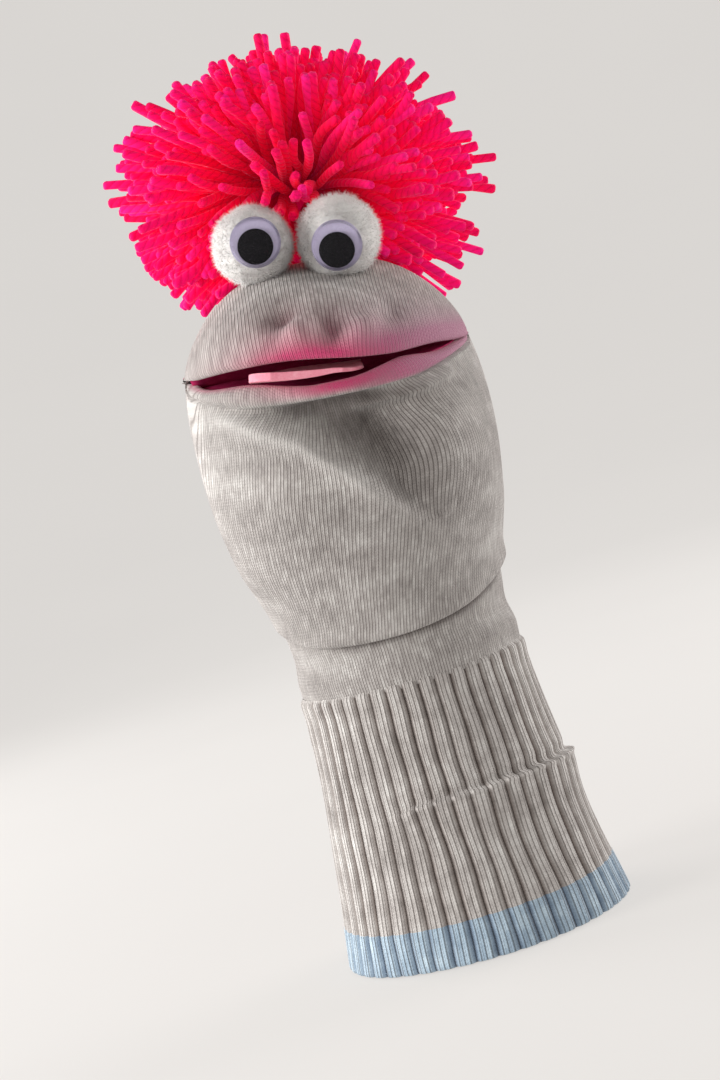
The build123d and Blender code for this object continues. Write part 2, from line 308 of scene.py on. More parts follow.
def knitted(name, light, middle, dark, groove=(0.30, 0.27, 0.26), blush=False):
    """Marled knit: dashes of two yarns along the wales, stitches in relief, pale fuzz, painted shade and
    highlight.
    """
    material, t = new_material(name)
    wale, course, painted_shade = t.mark("knit").split()
    own_yarn = t.node("ShaderNodeCombineXYZ", X=wale.sum("FLOOR") * 3.7, Y=course * 0.17, Z=0.0)
    dashes = own_yarn.mottle(1.0, 2.5, 0.6)
    clouds = t.mark("marl").stretched((0.6, 0.6, 1.7)).mottle(0.075, 2.0)
    colour = (dashes * 0.6 + clouds * 0.4).ramp((0.28, dark), (0.5, middle), (0.70, light))
    from_middle = (wale.sum("FRACT") - 0.5).sum("ABSOLUTE")
    leg = 1 - ((from_middle - 0.25) * 4).sum("POWER", 2.0)
    row = ((course + from_middle * 0.9) * (2 * math.pi)).sum("COSINE")
    stitches = leg * (row * COURSE_RELIEF + (1 - COURSE_RELIEF))
    relief = stitches * 0.5 + (1 - from_middle.smooth(0.3, 0.5)) * 0.6
    between = from_middle.smooth(0.27, 0.5)
    colour = colour.tinted(between * 0.85, (0.40, 0.365, 0.35))
    # Painted shade: the third knit mark darkens the colour towards the groove tint; below zero it lightens
    # it towards the light yarn as a painted highlight.
    colour = colour.tinted(painted_shade, groove).mix((0 - painted_shade) * 0.9, light)
    if blush:
        pink, mauve, wine = t.mark("paint").split()
        specks = (dashes - 0.5) * 0.5
        pink = (pink + pink * specks).sum("MINIMUM", 1.0)
        mauve = (mauve + mauve * specks).sum("MINIMUM", 1.0)
        colour = colour.mix(mauve * 0.9, (0.46, 0.16, 0.28)).mix(pink * 0.95, (0.62, 0.045, 0.17))
        colour = colour.mix(wine, (0.27, 0.004, 0.055))
    bump = t.node("ShaderNodeBump", Strength=0.8, Distance=0.0004, Height=relief)
    shader = t.node(
        "ShaderNodeBsdfPrincipled",
        Base_Color=colour,
        Roughness=0.86,
        Normal=bump,
        Specular_IOR_Level=0.25,
        Sheen_Weight=0.4,
        Sheen_Roughness=0.42,
        Sheen_Tint=(1.0, 0.98, 0.96),
    )
    finish_material(t, shader)
    return material


RIBS = 44
RIB_STEPS = 12
RIB_DEPTH = 1.0
LEG_HEIGHTS = (0, 10, 18.5, 30, 42, 54, 72, 82)
LEG_OUTLINE = tuple(zip(LEG_HEIGHTS, (43.3, 41.8, 40.4, 38.8, 37.3, 35.8, 34.2, 33.6)))
CUFF_TOP = 12.0
MARL_TUBE = 38
WALES_IN_RIB = 4
RIB_COURSE = 1.05
rng = np.random.default_rng(20)
share = np.arange(RIBS * RIB_STEPS) / RIB_STEPS
share = np.floor(share) + (share % 1) - 0.5 * np.sin(2 * math.pi * (share % 1)) / (2 * math.pi)
rib_share = np.append(share, RIBS)
rib_columns = 2 * math.pi * share / RIBS + math.pi
rib_deep = 0.8 + 0.4 * rng.random(RIBS)
rib_deep = rib_deep[np.floor(share + 0.5).astype(int) % RIBS]


def leg_ring(height, ribbed=1.0, proud=0.0):
    """Points round the ribbed tube at one height, and how deep each lies in a groove."""
    angle = rib_columns + 0.009 * np.sin(height / 11.0 + 3 * rib_columns)
    angle = angle + 0.003 * np.sin(height / 3.4 + 7 * rib_columns)
    place = share % 1
    off = np.minimum(place, 1 - place)
    groove = np.exp(-((off / 0.15) ** 2)) * rib_deep
    crease = np.exp(-(((place - 0.5) / 0.07) ** 2))
    radius = through(LEG_OUTLINE, height) + proud + 0.25 * np.sin(2 * angle + height / 17)
    radius = radius + 0.18 * np.sin(5 * angle - height / 8)
    radius = radius - ribbed * (RIB_DEPTH * groove + 0.16 * crease)
    z = height + 0 * angle
    return np.stack((radius * np.sin(angle), -radius * np.cos(angle), z), axis=-1), groove


def closed(values):
    """Values round a tube, with the first column again at the end."""
    return np.append(values, values[:, :1], axis=1)


def marl_place(turn, height):
    """Where each stitch lies on the yarn's own pattern, which is wrapped round a plain tube."""
    none = 0 * (turn + height)
    return np.stack((MARL_TUBE * np.cos(turn) + none, MARL_TUBE * np.sin(turn) + none, height + none), -1)


def rib_marks(grid, grooves):
    """Stitch and yarn coordinates for the ribs, and painted shade in the grooves between them, as deep as
    each groove.
    """
    high = grid[:, :1, 2]
    knit = np.zeros((grid.shape[0], rib_share.size, 3))
    knit[..., 0] = WALES_IN_RIB * rib_share
    knit[..., 1] = high / RIB_COURSE
    # Painted shade in the grooves between the ribs.
    knit[..., 2] = closed(grooves)
    turn_round = 2 * math.pi * rib_share / RIBS
    return {"knit": knit, "marl": marl_place(turn_round, high)}


# The groove colour is the painted shade in the cuff's grooves.
cuff_knit = knitted(
    "cuff_knit", (0.60, 0.74, 0.84), (0.40, 0.52, 0.63), (0.24, 0.33, 0.43), groove=(0.42, 0.44, 0.50)
)
RIB_WALL = 1.1
hem_below = ((1.2, -1.5), (0.4, -1.0), (0.05, -0.45), (0.25, -0.05), (0.9, 0.12))
hem_above = ((CUFF_TOP, -0.05), (CUFF_TOP + 0.35, -0.35), (CUFF_TOP + 0.4, -0.9))
hem_face = [(height, 0.15) for height in np.linspace(1.8, CUFF_TOP - 0.6, 14)]
cuff_rings = [leg_ring(height, 1.0, proud) for height, proud in (*hem_below, *hem_face, *hem_above)]
cuff, cuff_grooves = (np.array(part) for part in zip(*cuff_rings))
marks = rib_marks(cuff, cuff_grooves)
cuff_cloth = skin("cuff_cloth", cuff, cloth_normals(cuff, True), RIB_WALL, cuff_knit, **marks)
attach(cuff_cloth, "sleeve")
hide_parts("cuff_band")

# ---- ribbed leg ---------------------------------------------------------------------------
# The leg of the sock, knitted in wide ribs of grey marl so that it clings. Part of it has
# slipped down over itself and makes a tuck across the front and one side.

LEG_END = 80.6
TUCK = 44.0
TUCK_STEP = 1.5
# The groove colour is the painted shade in the leg's grooves.
rib_knit = knitted(
    "rib_knit", (0.76, 0.745, 0.72), (0.55, 0.52, 0.50), (0.31, 0.285, 0.27), groove=(0.36, 0.31, 0.29)
)
leg_rows, leg_grooves = [], []
round_front = (np.degrees(rib_columns) + 180) % 360 - 180
tucked = ease(round_front, -34, -8) * (1 - ease(round_front, 105, 150))
crinkle = 0.25 * np.sin(17 * rib_columns) + 0.2 * np.sin(41 * rib_columns + 1)
heights = np.concatenate(
    (
        np.arange(CUFF_TOP - 1.0, 38, 1.1),
        np.arange(38, 43.2, 0.5),
        (43.5, 43.8, 44.0, 44.15, 44.3, 44.5, 44.9),
        np.arange(45.5, 50, 0.7),
        np.arange(50.2, 79, 1.1),
        (79.4, 79.9, 80.3, LEG_END),
    )
)
for height in heights:
    ending = ease(height, 79.2, LEG_END)
    ring, groove = leg_ring(height, 1 - 0.8 * ending, -0.9 * ending + 0.35 * ease(height, 74, 78.5))
    below = TUCK - height
    ledge = np.where(below >= 0, np.exp(-((below / 8.0) ** 2)), np.exp(-((below / 0.35) ** 2)))
    lip = np.exp(-(((below - 0.5) / 0.75) ** 2))
    pinch = 0.55 * np.exp(-(((below + 1.5) / 1.6) ** 2))
    swell = tucked * (TUCK_STEP * ledge + lip * (0.55 + crinkle) - pinch)
    out = ring[:, :2] / np.linalg.norm(ring[:, :2], axis=1, keepdims=True)
    ring[:, :2] += out * swell[:, None]
    follow = math.exp(-(((height - TUCK) / 8.0) ** 2))
    ring[:, 2] += follow * tucked * (2.0 * np.cos(rib_columns) + crinkle * 0.8)
    leg_rows.append(ring)
    # Painted shade in the grooves, less on the tuck's lip and where the ribs end above.
    leg_grooves.append(groove * (1 - 0.75 * lip * tucked) * (1 - 0.9 * ending))
leg = np.array(leg_rows)
marks = rib_marks(leg, np.array(leg_grooves))
leg_cloth = skin("leg_cloth", leg, cloth_normals(leg, True), RIB_WALL, rib_knit, **marks)
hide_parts("ribbed_leg")
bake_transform(leg_cloth)

# ---- ankle --------------------------------------------------------------------------------
# Plain knit above the ribs, in the same marl. It runs up inside the fold of the heel, so it
# takes its shape there from the rings of the foot, which are the hand's and the mouth's.

COLUMNS = 288
WALES = 240
COURSE = 0.95
round_about = 2 * math.pi * np.arange(COLUMNS + 1) / COLUMNS + math.pi
angles = round_about[:-1]


def foot_marks(length, lean, shaded):
    """Stitch and yarn coordinates for plain knit, where length runs up each wale; shaded is painted shade.
    """
    length = closed(length)
    turn_round = round_about + closed(lean) * 2 * math.pi / WALES
    knit = np.stack((WALES * turn_round / (2 * math.pi), length / COURSE, closed(shaded)), -1)
    return {"knit": knit, "marl": marl_place(turn_round, length)}


SOCK_YARNS = ((0.70, 0.68, 0.655), (0.465, 0.435, 0.418), (0.27, 0.245, 0.235))
sock_knit = knitted("sock_knit", *SOCK_YARNS, blush=True)
ANKLE_OUTLINE = ((78, 33.0), (82, 33.5), (88, 33.5))
ANKLE_FOOT = 78.6
ANKLE_FOLD_RISE = 3.0

hinge = np.array((1.7, -24.0, 172.1))
MOUTH_ROLL = math.radians(5.1)
JAW_REST = math.radians(9.0)
mouth_across = np.array((math.cos(MOUTH_ROLL), 0, -math.sin(MOUTH_ROLL)))
mouth_up = np.array((math.sin(MOUTH_ROLL), 0, math.cos(MOUTH_ROLL)))
mouth_forward = np.array((0, -1.0, 0))
jaw_forward = mouth_forward * math.cos(JAW_REST) - mouth_up * math.sin(JAW_REST)
jaw_up = mouth_up * math.cos(JAW_REST) + mouth_forward * math.sin(JAW_REST)

STATIONS = (90, 96, 100, 106, 113, 120, 129, 138, 150, 158, 166)
HALF_WIDTH = tuple(zip(STATIONS, (33.7, 34.0, 34.5, 35.7, 37.8, 40.0, 41.7, 42.9, 43.0, 42.2, 40.6)))
FRONT = tuple(zip(STATIONS, (34.2, 36.6, 38.8, 42.2, 46.0, 49.6, 54.0, 57.2, 60.8, 64.2, 67.6)))
BACK = tuple(zip(STATIONS, (33.7, 34.2, 34.9, 36.2, 37.9, 39.0, 39.6, 39.6, 39.0, 37.8, 36.0)))
SIDE_SHIFT = ((90, 0.0), (120, 0.0), (134, 0.3), (148, 0.9), (166, 1.7))
HINGE_SHIFT = ((90, 0.0), (106, -0.3), (120, -2.0), (134, -5.5), (148, -12.5), (158, -19.0), (166, -24.0))
TOP = 166.0
LIP_ACROSS, LIP_REACH = 40.4, 48.2
SEAM_RISE = 2.5

sine, cosine = np.sin(angles), np.cos(angles)
degrees = (np.degrees(angles) + 180) % 360 - 180
in_front = 1 - ease(np.abs(degrees), 78, 98)
jaw_point_height = -3.4 + 2.2 * ease(np.abs(sine), 0.55, 1.0)
seam_height = (hinge + np.outer(40.6 * sine, mouth_across) + SEAM_RISE * mouth_up)[:, 2]
crease_height = (
    hinge
    + np.outer(LIP_ACROSS * sine, mouth_across)
    + np.outer((LIP_REACH - 4.0) * np.maximum(cosine, 0), jaw_forward)
    + jaw_point_height[:, None] * jaw_up
)[:, 2]
top_height = crease_height * in_front + seam_height * (1 - in_front)


def foot_ring(level):
    """Points round the foot at a level; above the palm the levels open into the mouth's line."""
    level = np.broadcast_to(np.asarray(level, float), angles.shape)
    shift = through(HINGE_SHIFT, level)
    x = through(SIDE_SHIFT, level) + through(HALF_WIDTH, level) * sine
    front = through(FRONT, level) + shift
    rear = through(BACK, level) - shift
    y = shift - np.where(cosine > 0, front, rear) * cosine
    z = level + (top_height - TOP) * ease(level, 126, TOP)
    return np.stack((x, y, z), axis=-1)


FOLD_TURNS = (-180, -120, -80, -50, -20, 10, 35, 55, 80, 120, 180)
FOLD_EDGE = tuple(zip(FOLD_TURNS, (106, 104, 101, 96, 93.8, 93.6, 95.6, 99, 103.5, 106.5, 106)))
fold_edge = through(FOLD_EDGE, degrees)
ankle_rows = []
for step in np.linspace(0, 1, 30):
    height = ANKLE_FOOT + (fold_edge + ANKLE_FOLD_RISE - ANKLE_FOOT) * step
    upper = foot_ring(np.maximum(height, STATIONS[0]))
    reach = np.linalg.norm(upper[:, :2], axis=1) - 1.3 - 0.5 * ease(height - fold_edge, -2.5, 1.0)
    straight = through(ANKLE_OUTLINE, height) + 0.2 * np.sin(2 * angles + 0.6)
    radius = straight + (reach - straight) * ease(height, 84, 93)
    puckered = np.exp(-(((degrees - 60) / 40) ** 2)) * ease(height, 80, 84)
    radius = radius + 0.25 * np.sin(height / 1.9) * puckered
    ankle_rows.append(np.stack((radius * sine, -radius * cosine, height), -1))
ankle = np.array(ankle_rows)
# Painted shadow on the ankle just under the heel fold's edge, strongest at the front and right side.
fold_shadow = np.exp(-((np.maximum(fold_edge - ankle[..., 2], 0) / 1.5) ** 2))
fold_shadow = fold_shadow * (0.25 + 0.75 * ease(degrees, -60, 30))
ankle_marks = foot_marks(ankle[..., 2], 0 * ankle[..., 2], fold_shadow)
ankle_marks["paint"] = 0 * ankle_marks["knit"]
ankle_cloth = skin("ankle_cloth", ankle, cloth_normals(ankle, True), 0.8, sock_knit, **ankle_marks)
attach(ankle_cloth, "ankle")
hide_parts("ankle_section")

# ---- foot: heel fold, bag and chin --------------------------------------------------------
# The foot of the sock is one tube of plain knit. Its loose heel curls down over the ankle,
# the palm of the hand fills the bag, and the thumb holds the chin and the lower lip.

LEVEL_SLOPE = 0.13
HEEL_LEVEL = 115.0
BAG_LEVEL = 140.5


def level_ring(level):
    """Levels where a plane that rises to the back cuts the foot, one for each wale."""
    levels = np.full_like(angles, level)
    for _ in range(12):
        levels = levels + 0.8 * (level + LEVEL_SLOPE * foot_ring(levels)[:, 1] - foot_ring(levels)[:, 2])
    return levels


overhang = 0.18 + 0.72 * ease(degrees, -85, -20) * (1 - 0.35 * ease(degrees, 60, 140))
heel_level, bag_level = level_ring(HEEL_LEVEL), level_ring(BAG_LEVEL)
ROLL_HIGH = 0.8
FOLD_ROLL = ((5.0, 1.9), (3.0, 1.9), (1.6, 1.8), (0.7, 1.55), (0.15, 1.1), (0.0, 0.6), (0.25, 0.2))


def proud_ring(level, proud):
    """A ring of the foot, pushed straight out by proud."""
    ring = foot_ring(level)
    out = ring[:, :2] / np.linalg.norm(ring[:, :2], axis=1, keepdims=True)
    ring[:, :2] += out * proud[:, None]
    return ring


foot_rows = [proud_ring(fold_edge + rise, 0.6 * overhang - tuck_in) for rise, tuck_in in FOLD_ROLL]
for step in np.linspace(0, 1, 20):
    above = (heel_level - fold_edge - ROLL_HIGH) * step
    foot_rows.append(proud_ring(fold_edge + ROLL_HIGH + above, overhang * np.exp(-((above / 3.0) ** 2))))
heel_rows = len(foot_rows)
for step in np.linspace(0, 1, 30)[1:]:
    foot_rows.append(foot_ring(heel_level + (bag_level - heel_level) * step))
bag_rows = len(foot_rows)
for step in np.linspace(0, 1, 42)[1:]:
    foot_rows.append(foot_ring(bag_level + (TOP - bag_level) * step))
throat_rows = len(foot_rows)

# The lower lip rolls over the thumb's side of the mouth; behind the corners the cloth goes
# on up under the crown.
lip_lift = 0.8 + 2.4 * ease(np.abs(sine), 0.1, 0.6)
lip_lift = lip_lift - 2.0 * ease(sine, 0.45, 0.8) - 1.3 * ease(-sine, 0.6, 0.95)
HEAD_RISE = 28.0
CROWN_BACK = 60.0
CROWN_FRONT = 48.6
CROWN_ACROSS = 40.6


def crown_point(turn, sine, cosine):
    """Point of the crown on one wale, from the seam at the back (0) over to the lip (pi)."""
    reach = np.abs(cosine)
    across = CROWN_ACROSS * sine
    forward = (CROWN_FRONT - CROWN_BACK) / 2 * reach - (CROWN_FRONT + CROWN_BACK) / 2 * reach * np.cos(turn)
    dome = HEAD_RISE * (1 - np.minimum(np.abs(sine), 1) ** 2.1) ** 0.62
    x = hinge[0] + across
    lip = 1.4 - 2.2 * np.tanh((x - 2) / 14) + 1.2 * ease(x, 18, 34)
    ahead = ease(forward, -6, 24)
    dome = dome * (1 - (0.17 + 0.0035 * across) * ahead)
    edge = SEAM_RISE + (lip - SEAM_RISE) * ease(turn, 0.35 * math.pi, math.pi)
    up = edge + dome * np.maximum(np.sin(turn), 0) ** 0.85
    along = across[..., None] * mouth_across + forward[..., None] * mouth_forward
    return hinge + along + up[..., None] * mouth_up


rolls = np.radians((-78, -58, -36, -14, 8, 30, 52, 74, 96, 118, 140, 162, 185, 205))
for number, roll in enumerate(rolls):
    inset = 2.3 - 2.3 * math.cos(roll)
    middle = (jaw_point_height + 0.6 + lip_lift) / 2
    half = (lip_lift - jaw_point_height - 0.2) / 2
    high = middle + half * math.sin(roll)
    rim = (
        hinge
        + np.outer((LIP_ACROSS - inset) * sine, mouth_across)
        + np.outer((LIP_REACH - inset) * np.maximum(cosine, 0), jaw_forward)
        + high[:, None] * jaw_up
    )
    under = crown_point(np.full_like(sine, 0.035 * (number + 1)), sine, np.minimum(cosine, 0))
    centre = hinge - 8 * mouth_forward
    under += (centre - under) * (0.004 + 0.0012 * number)
    foot_rows.append(rim * in_front[:, None] + under * (1 - in_front[:, None]))
foot = np.array(foot_rows)


def near_line(points, line):
    """Distance from points to a bent line on the front of the puppet, and the share along it."""
    best = np.full(points.shape[:-1], 1e9)
    along = np.zeros(points.shape[:-1])
    line = np.array(line, float)
    spans = np.linalg.norm(np.diff(line, axis=0), axis=1)
    for k, (a, b) in enumerate(zip(line[:-1], line[1:])):
        s = np.clip(((points - a) @ (b - a)) / spans[k] ** 2, 0, 1)
        d = np.linalg.norm(points - (a + s[..., None] * (b - a)), axis=-1)
        closer = d < best
        best = np.where(closer, d, best)
        along = np.where(closer, (spans[:k].sum() + s * spans[k]) / spans.sum(), along)
    return best, along


def hump(points, centre, along, across, lean=0.0):
    """Soft round hill on the front, along its own length and across it."""
    x = points[..., 0] - centre[0]
    z = points[..., 1] - centre[1]
    c, s = math.cos(math.radians(lean)), math.sin(math.radians(lean))
    return np.exp(-(((x * c + z * s) / along) ** 2) - (((z * c - x * s) / across) ** 2))


facing = ease(cosine, 0.05, 0.45)[None, :]
seen = foot[..., (0, 2)]
CREST_ACROSS = (-37.8, -30, -22.8, -9.7, 0.8, 8.3, 13.0)
CREST = tuple(zip(CREST_ACROSS, (169.5, 166.5, 162.6, 153.8, 141.1, 130.6, 123.0)))
SECOND_CREST = ((31, 160.5), (17.6, 157.5), (7, 155), (1, 153.5))
crest, crest_share = near_line(seen, CREST)
over_crest = crest * np.sign(seen[..., 1] - np.interp(seen[..., 0], *np.array(CREST).T))
crest_height = 3.6 * ease(crest_share, 0.02, 0.3) * (1 - ease(crest_share, 0.75, 1.0))
second, second_share = near_line(seen, SECOND_CREST)
push = crest_height * np.exp(-((crest / np.where(over_crest > 0, 1.9, 5.5)) ** 2))
pocket = ease(over_crest, -1.0, 5.5) * (1 - ease(seen[..., 0], 8, 27)) * ease(seen[..., 0], -36, -16)
pocket = pocket * ease(seen[..., 1], 118, 134)
push -= 7.5 * pocket
push += 3.0 * (1 - ease(second_share, 0.7, 1.0)) * np.exp(-((second / 2.0) ** 2))
push -= 3.2 * hump(seen, (9.5, 147.5), 11.0, 5.0, -38)
push -= 1.5 * hump(seen, (20, 152.5), 9.0, 3.4, 8)
push += 2.4 * hump(seen, (-17, 140), 17.0, 15.0, 0)
push += 1.5 * hump(seen, (24, 138), 14.0, 16.0, 0)
push += 0.5 * np.sin(seen[..., 0] / 6.5 + seen[..., 1] / 9.0) * ease(seen[..., 1], 108, 120)
below_lip = np.ones(len(foot_rows))
below_lip[throat_rows - 4:throat_rows] = (0.85, 0.6, 0.35, 0.15)
below_lip[throat_rows:] = 0
below_lip[:heel_rows] = 0
push = push * facing * below_lip[:, None] * ease(seen[..., 1], 106, 116)
foot_out = cloth_normals(foot, True)
foot = foot + foot_out * push[..., None]
foot_out = cloth_normals(foot, True)

steps = np.linalg.norm(np.diff(foot, axis=0), axis=2)
length = np.concatenate((np.zeros((1, COLUMNS)), np.cumsum(steps, axis=0)))
length = length - length[len(FOLD_ROLL)] + fold_edge
window = ease(cosine, -0.1, 0.5)
lean = -0.27 * (foot[..., 2] - 110)
rise = np.log1p(np.exp((foot[..., 2] - 140) / 5)) * 5
lean = lean + 0.72 * rise * ease(foot[..., 0], -24, 20)
lean = lean * window
# Painted shade in the throat's pocket, in its hollows and under the lower lip, lifted beside the crest; the
# crest itself gets a painted highlight.
shaded = 0.5 * pocket
for painted_shade, *place in (
    (0.30, (9.5, 147.5), 12.0, 6.0, -38),
    (0.16, (27, 135), 9.0, 22.0),
    (0.25, (-12, 133), 12.0, 15.0, 20),
    (0.3, (8, 158.5), 26.0, 3.0, -9),
):
    shaded = shaded + painted_shade * hump(seen, *place)
risen = ease(crest_share, 0.02, 0.2)
beside_crest = np.exp(-(((over_crest + 1.0) / 2.6) ** 2)) * risen * (1 - ease(crest_share, 0.8, 1.0))
shaded = shaded * (1 - 0.9 * beside_crest)
crest_highlight = np.exp(-(((over_crest + 0.8) / 2.3) ** 2)) * risen * (1 - ease(crest_share, 0.72, 0.98))
shaded = (shaded - 0.5 * crest_highlight) * facing * below_lip[:, None]
foot_mark = foot_marks(length, lean, shaded)


# Pink is worked into the cloth of the lip, mauve on one side, and wine red inside the mouth.
row_number = np.arange(len(foot_rows))[:, None] + 0 * angles
on_rim = ease(row_number, throat_rows + 0.5, throat_rows + 5.0) * in_front
wide_rim = ease(row_number, throat_rows - 1, throat_rows + 2.5) * in_front * ease(foot[..., 0], 0, 22)
inside = ease(row_number, throat_rows + 7.0, throat_rows + 9.5) * in_front
rolled = np.maximum(on_rim, wide_rim)
inner_rim = on_rim * ease(row_number, throat_rows + 5, throat_rows + 8) * 0.9
pink = np.maximum(rolled * np.exp(-(((foot[..., 0] - 3) / 17) ** 2)), inner_rim)
mauve = rolled * ease(foot[..., 0], -6, 22)
foot_mark["paint"] = closed(np.stack((pink, mauve, inside * 0.9), -1))


def foot_piece(name, first, last, wall):
    marks = {mark: values[first:last] for mark, values in foot_mark.items()}
    piece = skin(name, foot[first:last], foot_out[first:last], wall, sock_knit, **marks)
    return piece


heel_fold = foot_piece("heel_fold", 0, heel_rows, 0.35)
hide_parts("heel_pouch")


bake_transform(heel_fold)
bag_cloth = foot_piece("bag_cloth", heel_rows - 1, bag_rows, 1.0)
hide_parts("throat_bag")
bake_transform(bag_cloth)
chin_cloth = foot_piece("chin_cloth", bag_rows - 1, len(foot_rows), 1.0)
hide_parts("chin_pocket")
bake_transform(chin_cloth)

# ---- crown --------------------------------------------------------------------------------
# The toe end of the sock over the knuckles and fingers. Two fingertips press through the
# knit above the upper lip, whose edge is tucked back into the mouth.

half = COLUMNS // 4
crown_index = (np.arange(COLUMNS // 2 + 1) - half) % COLUMNS
crown_angle = round_about[0] + 2 * math.pi * (np.arange(COLUMNS // 2 + 1) - half) / COLUMNS
crown_sine, crown_cosine = np.sin(crown_angle), np.minimum(np.cos(crown_angle), -0.012)
turns_over = np.concatenate(((0,), math.pi * (np.arange(1, 112) / 112) ** 1.02, (math.pi,)))
crown_rows = [crown_point(np.full_like(crown_sine, turn), crown_sine, crown_cosine) for turn in turns_over]
crown_rows[0] = foot[throat_rows - 1][crown_index]
corner_share = np.abs(crown_cosine)[:, None]
ROLL_RADIUS = 1.5
lip_edge = crown_rows[-1]
inward = hinge + 4 * mouth_forward - lip_edge
inward -= (inward @ mouth_up)[:, None] * mouth_up
inward /= np.linalg.norm(inward, axis=1, keepdims=True)
for roll in np.radians((20, 42, 64, 86, 108, 130, 152, 172)):
    radius = ROLL_RADIUS * np.minimum(1, 0.15 + corner_share * 2)
    crown_rows.append(lip_edge + inward * radius * (1 - math.cos(roll)) - mouth_up * radius * math.sin(roll))
last = crown_rows[-1]
for reach in (0.8, 1.7, 2.6):
    crown_rows.append(last + (mouth_up * 0.9 + inward * 0.3) * reach * np.minimum(1, corner_share * 3))
crown = np.array(crown_rows)
seen = crown[..., (0, 2)]
lip_row = len(turns_over)
at_front = ease(-crown[..., 1], 36, 50)
press = 4.2 * hump(seen, (-3.6, 180.6), 4.2, 3.6) + 3.6 * hump(seen, (12.6, 176.8), 4.4, 3.3)
press -= 3.6 * hump(seen, (-7.0, 187.0), 5.0, 3.6, 24) + 3.2 * hump(seen, (5.2, 180.0), 2.9, 4.6)
press -= 2.0 * hump(seen, (21.5, 179.5), 3.4, 3.6)
# Painted shade in the dents between the fingertips.
dent_shade = 0.7 * hump(seen, (-6.5, 187.2), 5.5, 3.4, 24) + 0.6 * hump(seen, (5.2, 180.5), 2.8, 5.0)
press += 0.9 * hump(seen, (-20, 184), 8, 7) + 0.7 * hump(seen, (25, 178), 7, 6)
row_number = np.arange(len(crown_rows))[:, None]
above_lip = at_front * (row_number < lip_row)
rippled = ease(row_number, 6, 30) * ease(-row_number, -lip_row, -lip_row + 25)
press = press * above_lip + 0.45 * np.sin(crown[..., 0] / 7 + crown[..., 1] / 11) * rippled
crown_out = cloth_normals(crown, False)
crown_out[:, 0] = crown_out[:, 3]
crown_out[:, -1] = crown_out[:, -4]
crown = crown + crown_out * press[..., None]
crown_out = cloth_normals(crown, False)
crown_out[:, :2] = crown_out[:, 2:3]
crown_out[:, -2:] = crown_out[:, -3:-2]
steps = np.linalg.norm(np.diff(crown, axis=0), axis=2)
crown_length = np.concatenate((np.zeros((1, crown_angle.size)), np.cumsum(steps, axis=0)))
crown_length = crown_length + length[throat_rows - 1][crown_index]
wale = WALES * crown_angle / (2 * math.pi) + 0 * crown_length
knit = np.stack((wale, crown_length / COURSE, dent_shade * above_lip), -1)
marl = marl_place(crown_angle, crown_length)
row_number = row_number + 0 * crown_angle
fade = np.exp(-np.maximum(crown[..., 2] - lip_edge[:, 2], 0) / 5.0)
fade = np.where(row_number >= lip_row, 1.0, fade * ease(row_number, lip_row - 50, lip_row - 20))
x = crown[..., 0]
pink = fade * np.exp(-(((x + 1) / 19) ** 2)) * 1.15
mauve = np.minimum(1, fade * 1.6) * ease(x, 0, 20)
wine = ease(row_number, lip_row + 1.5, lip_row + 4.0)
paint = np.stack((np.clip(pink, 0, 1), np.clip(mauve, 0, 1), wine * 0.85), -1)
crown_cloth = skin(
    "crown_cloth", crown, crown_out, 0.9, sock_knit, round_about=False, knit=knit, marl=marl, paint=paint
)
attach(crown_cloth, "head")
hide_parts("crown")

# ---- mouth linings ------------------------------------------------------------------------
# Two ovals of wine-red felt glued inside the jaws. They meet at the hinge, far back in the
# mouth, and the lips' edges cover their rims.


def felt(name, deep, face, light):
    material, t = new_material(name)
    fibres = t.object_place().mottle(2400.0, 6.0, 0.7)
    matted = t.object_place().mottle(350.0, 3.0)
    colour = (fibres * 0.55 + matted * 0.45).ramp((0.32, deep), (0.5, face), (0.68, light))
    bump = t.node("ShaderNodeBump", Strength=0.6, Distance=0.0003, Height=fibres)
    shader = t.node(
        "ShaderNodeBsdfPrincipled",
        Base_Color=colour,
        Roughness=0.95,
        Normal=bump,
        Specular_IOR_Level=0.15,
        Sheen_Weight=0.4,
        Sheen_Roughness=0.5,
        Sheen_Tint=light,
    )
    finish_material(t, shader)
    return material


mouth_felt = felt("mouth_felt", (0.26, 0.004, 0.05), (0.44, 0.012, 0.10), (0.62, 0.05, 0.18))
LINING_WALL = 1.2
LINING_HALF = 38.4
LINING_BACK = 0.8
for name, node, body, reach, height, sag in (
    ("upper_lining", "upper_mouth_lining", "head", 46.6, 2.6, 1.6),
    ("lower_lining", "lower_mouth_lining", "lower_jaw", 45.6, -0.7, -1.2),
):
    u = np.linspace(-0.985, 0.985, 61)
    v = np.linspace(0, 1, 33)[:, None]
    across = LINING_HALF * u + 0 * v
    ahead = LINING_BACK + (reach * np.sqrt(1 - u**2) - LINING_BACK) * v
    bow = sag * (1 - u**2) * np.sin(math.pi * v) + 0.25 * np.sin(across / 5 + ahead / 7)
    level = height * (0.25 + 0.75 * ease(ahead, 0, 11))
    if body == "head":
        lip = 0.6 - 2.4 * np.tanh((across - 0.3) / 14)
        forward, up, backing = mouth_forward, mouth_up, crown_cloth
    else:
        lip = 1.6 * ease(np.abs(u), 0.3, 0.8)
        forward, up, backing = jaw_forward, jaw_up, chin_cloth
    raised = level + bow + lip * v * 0.8
    felt_grid = hinge + across[..., None] * mouth_across + ahead[..., None] * forward
    felt_grid = felt_grid + raised[..., None] * up
    if body == "head":
        felt_grid = felt_grid[:, ::-1]
    out = cloth_normals(felt_grid, False)
    lining = skin(name, felt_grid, out, LINING_WALL, mouth_felt, round_about=False)
    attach(lining, body)
    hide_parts(node)

# ---- tongue -------------------------------------------------------------------------------
# A strip of pale pink felt, cut with round corners and glued flat on the lower lining. Its
# end curls up a little over the lip.

